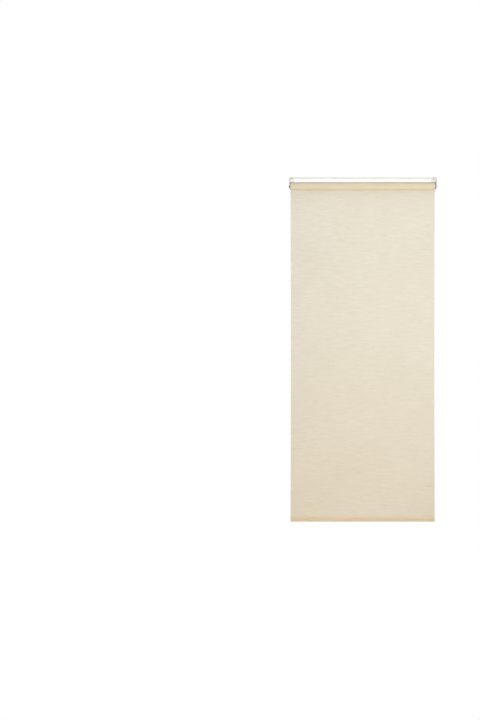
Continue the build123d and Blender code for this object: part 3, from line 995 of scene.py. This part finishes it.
@dataclass
class CoatedFrame(Assembly):
    """Rail and end brackets, with the set screws that clamp the brackets in the rail."""

    edges: EdgeRounding = EdgeRounding(0.35)
    screw_inset_mm: float = 7.0
    screw_mm: float = 4.4
    screw_chamfer_mm: float = 0.35
    screw_proud_mm: float = 0.35
    screw_sides: int = 24
    screw_sharp_deg: float = 30.0
    socket_flats_mm: float = 1.8
    socket_depth_mm: float = 1.1

    def build(self) -> list[Object]:
        """Dresses the rail and the brackets and adds a set screw near each end.

        Returns:
            The rail, the brackets and the set screws.
        """
        pieces = self.edges.dress(("head_rail",), POWDER_COAT)
        pieces += self.edges.dress(("left_bracket", "right_bracket"), COATED_SHEET)
        low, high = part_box("head_rail")
        inset = self.screw_inset_mm * MM
        for name, x in (("left_set_screw", low.x + inset), ("right_set_screw", high.x - inset)):
            pieces.append(self.set_screw(name, Vector((x, low.y, (low.z + high.z) / 2))))
        return pieces

    def set_screw(self, name: str, seat: Vector) -> Object:
        """Makes a set screw with a hexagon socket in the rail's front face.

        Args:
            name: name of the piece.
            seat: middle of the screw on the rail's face.

        Returns:
            The screw.
        """
        turn = np.linspace(0, math.tau, self.screw_sides, endpoint=False)
        sixth = math.tau / 6
        to_flat = np.cos((turn + sixth / 2) % sixth - sixth / 2)
        socket = self.socket_flats_mm / 2 / to_flat
        radius, chamfer, proud = self.screw_mm / 2, self.screw_chamfer_mm, self.screw_proud_mm
        rings = (
            (radius, -chamfer),
            (radius, proud - chamfer),
            (radius - chamfer, proud),
            (socket, proud),
            (socket, proud - self.socket_depth_mm),
        )
        points = [
            np.stack([reach * np.cos(turn), np.full_like(turn, -out), reach * np.sin(turn)], axis=1)
            for reach, out in rings
        ]
        places = np.concatenate(points) * MM + np.array(seat)
        screw = mesh_piece(name, places, tube_faces(len(rings), self.screw_sides), self.screw_sharp_deg)
        return install(screw, BLUED_STEEL, Body.FRAME, Slot.STEEL)


@dataclass(frozen=True)
class CoilSpring:
    """A spring of round wire in the place of a faceted solid."""

    name: str
    node: str
    body: Body
    wire_mm: float
    coils: int
    steps: int = 28
    sides: int = 8
    # The round coil stays inside the flats of the solid by this share of the wire's radius.
    inset_share: float = 0.5

    def build(self) -> Object:
        """Makes the wire as a tube along a helix.

        Returns:
            The spring.
        """
        low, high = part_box(self.node)
        wire = self.wire_mm * MM / 2
        radius = (high.z - low.z) / 2 - (1 + self.inset_share) * wire
        axis_y, axis_z = (low.y + high.y) / 2, (low.z + high.z) / 2
        turn = np.linspace(0, math.tau * self.coils, self.coils * self.steps + 1)
        x = np.linspace(low.x + wire, high.x - wire, len(turn))
        out = np.stack([np.zeros_like(turn), np.cos(turn), np.sin(turn)], axis=1)
        middle = out * radius + np.stack([x, np.full_like(x, axis_y), np.full_like(x, axis_z)], axis=1)
        tangent = np.gradient(middle, axis=0)
        tangent /= np.linalg.norm(tangent, axis=1)[:, None]
        side = np.cross(tangent, out)
        around = np.linspace(0, math.tau, self.sides, endpoint=False)[:, None]
        ring = out[:, None] * np.cos(around) + side[:, None] * np.sin(around)
        points = (middle[:, None] + wire * ring).reshape(-1, 3)
        spring = mesh_piece(self.name, points, tube_faces(len(turn), self.sides))
        return install(spring, SPRING_STEEL, self.body, Slot.STEEL, self.node)


@dataclass
class RollerMechanism(Assembly):
    """Tube, end plugs, pins, pawls and springs."""

    moulded_edges: EdgeRounding = EdgeRounding(0.25)
    fine_edges: EdgeRounding = EdgeRounding(0.12)
    lift_spring: CoilSpring = CoilSpring("lift_spring_wire", "lift_spring", Body.FRAME, wire_mm=1.6, coils=9)
    pin_spring: CoilSpring = CoilSpring("pin_spring_wire", "pin_spring", Body.ROLLER, wire_mm=0.7, coils=5)

    def build(self) -> list[Object]:
        """Dresses the solids that stay and puts round wire in place of the faceted springs.

        Returns:
            The solids and the springs.
        """
        moulded = ("idle_plug", "spring_cap", "spring_anchor", "pin_retainer")
        pressed = ("ratchet_wheel", "upper_pawl", "lower_pawl", "pawl_rivets", "spring_rod")
        pieces = self.moulded_edges.dress(moulded, GREY_NYLON)
        for names, finish in (
            (pressed, ZINC_STEEL),
            (("idle_pin", "spade_pin"), BLUED_STEEL),
            (("roller_tube", "bottom_bar"), MILL_ALUMINIUM),
            (("cloth_strip",), WHITE_VINYL),
        ):
            pieces += self.fine_edges.dress(names, finish)
        return [*pieces, self.lift_spring.build(), self.pressed_spring()]

    def pressed_spring(self) -> Object:
        """Makes the idle pin's spring, with a mesh of its own.

        Returns:
            The spring.
        """
        spring = self.pin_spring.build()
        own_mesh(spring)
        return spring


@dataclass(frozen=True)
class SoftLamp:
    """A square soft lamp that looks at a point of the blind."""

    name: str
    place: Triple
    aim: Triple
    size: float
    watts: float
    colour: str = WHITE

    def build(self) -> None:
        """Adds the lamp, unseen by the camera."""
        data = bpy.data.lights.new(self.name, "AREA")
        data.shape = "SQUARE"
        data.size = self.size
        data.energy = self.watts
        data.color = linear(self.colour)[:3]
        lamp = bpy.data.objects.new(self.name, data)
        lamp.location = self.place
        lamp.rotation_euler = (Vector(self.aim) - Vector(self.place)).to_track_quat("-Z", "Y").to_euler()
        lamp.visible_camera = False
        bpy.context.scene.collection.objects.link(lamp)


# A key ahead of the upper half, a small one level with the rail, one above, two for the ends, a warm one
# low down, which deepens the hem's tone, and one behind.
LAMPS = (
    SoftLamp("key_lamp", (0.28, -1.85, -0.52), (0.1, 0.0, -0.56), size=1.3, watts=21.2),
    SoftLamp("rail_lamp", (0.1, -1.9, 0.0), (0.0, 0.0, 0.0), size=0.5, watts=3.7),
    SoftLamp("top_lamp", (0.1, -0.9, 1.2), (0.0, 0.0, 0.0), size=1.4, watts=6.0),
    SoftLamp("left_lamp", (-1.9, 0.1, -0.3), (0.0, 0.05, -0.3), size=1.0, watts=10.0),
    SoftLamp("right_lamp", (1.9, 0.1, -0.3), (0.0, 0.05, -0.3), size=1.0, watts=10.0),
    SoftLamp("low_fill_lamp", (-0.2, -1.0, -1.9), (0.0, 0.0, -1.4), size=0.7, watts=2.2, colour="ffb400"),
    SoftLamp("back_lamp", (-0.4, 2.4, -0.4), (0.0, 0.0, -0.6), size=1.4, watts=42.0),
)


@dataclass
class Studio:
    """Camera at the photograph's angle, soft lamps, a white surround and a pale floor."""

    picture_px: tuple[int, int] = (480, 720)
    pixel_mm: float = 4.158
    blind_middle_px: float = 362.6
    rail_top_px: float = 177.3
    camera_distance: float = 14.0
    sensor_mm: float = 36.0
    ambient: float = 0.29
    floor_drop: float = 2.45
    floor_front: float = -2.4
    floor_back: float = 0.8
    floor_half_width: float = 2.0

    def build(self) -> None:
        """Builds the whole studio."""
        bpy.context.scene.view_settings.view_transform = "Standard"
        for lamp in LAMPS:
            lamp.build()
        self.camera()
        self.surround()
        self.floor()

    def camera(self) -> None:
        """Adds the camera, level and square to the blind, with the photograph's middle on its axis."""
        width, height = self.picture_px
        rail_low, rail_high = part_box("head_rail")
        panel_low, panel_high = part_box("cloth_panel")
        panel_y = (panel_low.y + panel_high.y) / 2
        nearer = self.camera_distance / (self.camera_distance - panel_y + rail_low.y)
        data = bpy.data.cameras.new("photo_camera")
        data.sensor_fit = "VERTICAL"
        data.sensor_height = self.sensor_mm
        data.lens = self.sensor_mm * self.camera_distance / (height * self.pixel_mm * MM)
        eye = bpy.data.objects.new("photo_camera", data)
        eye.location = (
            (width / 2 - self.blind_middle_px) * self.pixel_mm * MM,
            panel_y - self.camera_distance,
            rail_high.z - (height / 2 - self.rail_top_px) * self.pixel_mm * MM / nearer,
        )
        eye.rotation_euler = (math.pi / 2, 0, 0)
        bpy.context.scene.collection.objects.link(eye)
        bpy.context.scene.camera = eye

    def surround(self) -> None:
        """Makes the world: white to the eye, and a plain soft ambient light."""
        world = bpy.data.worlds.new("white_surround")
        world.use_nodes = True
        tree = world.node_tree
        tree.nodes.clear()
        light, white = (
            add_node(tree, "Background", inputs={"Color": linear(WHITE), "Strength": strength}).outputs[0]
            for strength in (self.ambient, 1.0)
        )
        mixed = add_node(tree, "MixShader", inputs={0: seen_directly(tree), 1: light, 2: white})
        add_node(tree, "OutputWorld", inputs={"Surface": mixed.outputs[0]})
        bpy.context.scene.world = world

    def floor(self) -> None:
        """Adds the pale floor below the blind, which keeps its shadow and hides nothing from below."""
        side, front, back = self.floor_half_width, self.floor_front, self.floor_back
        corners = ((-side, front), (side, front), (side, back), (-side, back))
        points = np.array([(x, y, -self.floor_drop) for x, y in corners])
        floor = mesh_piece("floor", points, [[0, 1, 2, 3]])
        FLOOR_PAINT.dress(floor)


def main() -> None:
    """Builds the blind's sub-assemblies in order and reports their pieces, then adds the studio."""
    logging.basicConfig(level=logging.INFO, format="%(name)s %(message)s")
    for assembly in (CoatedFrame(), RollerMechanism(), WoundRoll(), SewnHem(), HangingPanel()):
        for piece in assembly.build():
            log.info("%s: %d faces, %s", piece.name, len(piece.data.polygons), piece.active_material.name)
    Studio().build()


if __name__ == "__main__":
    main()
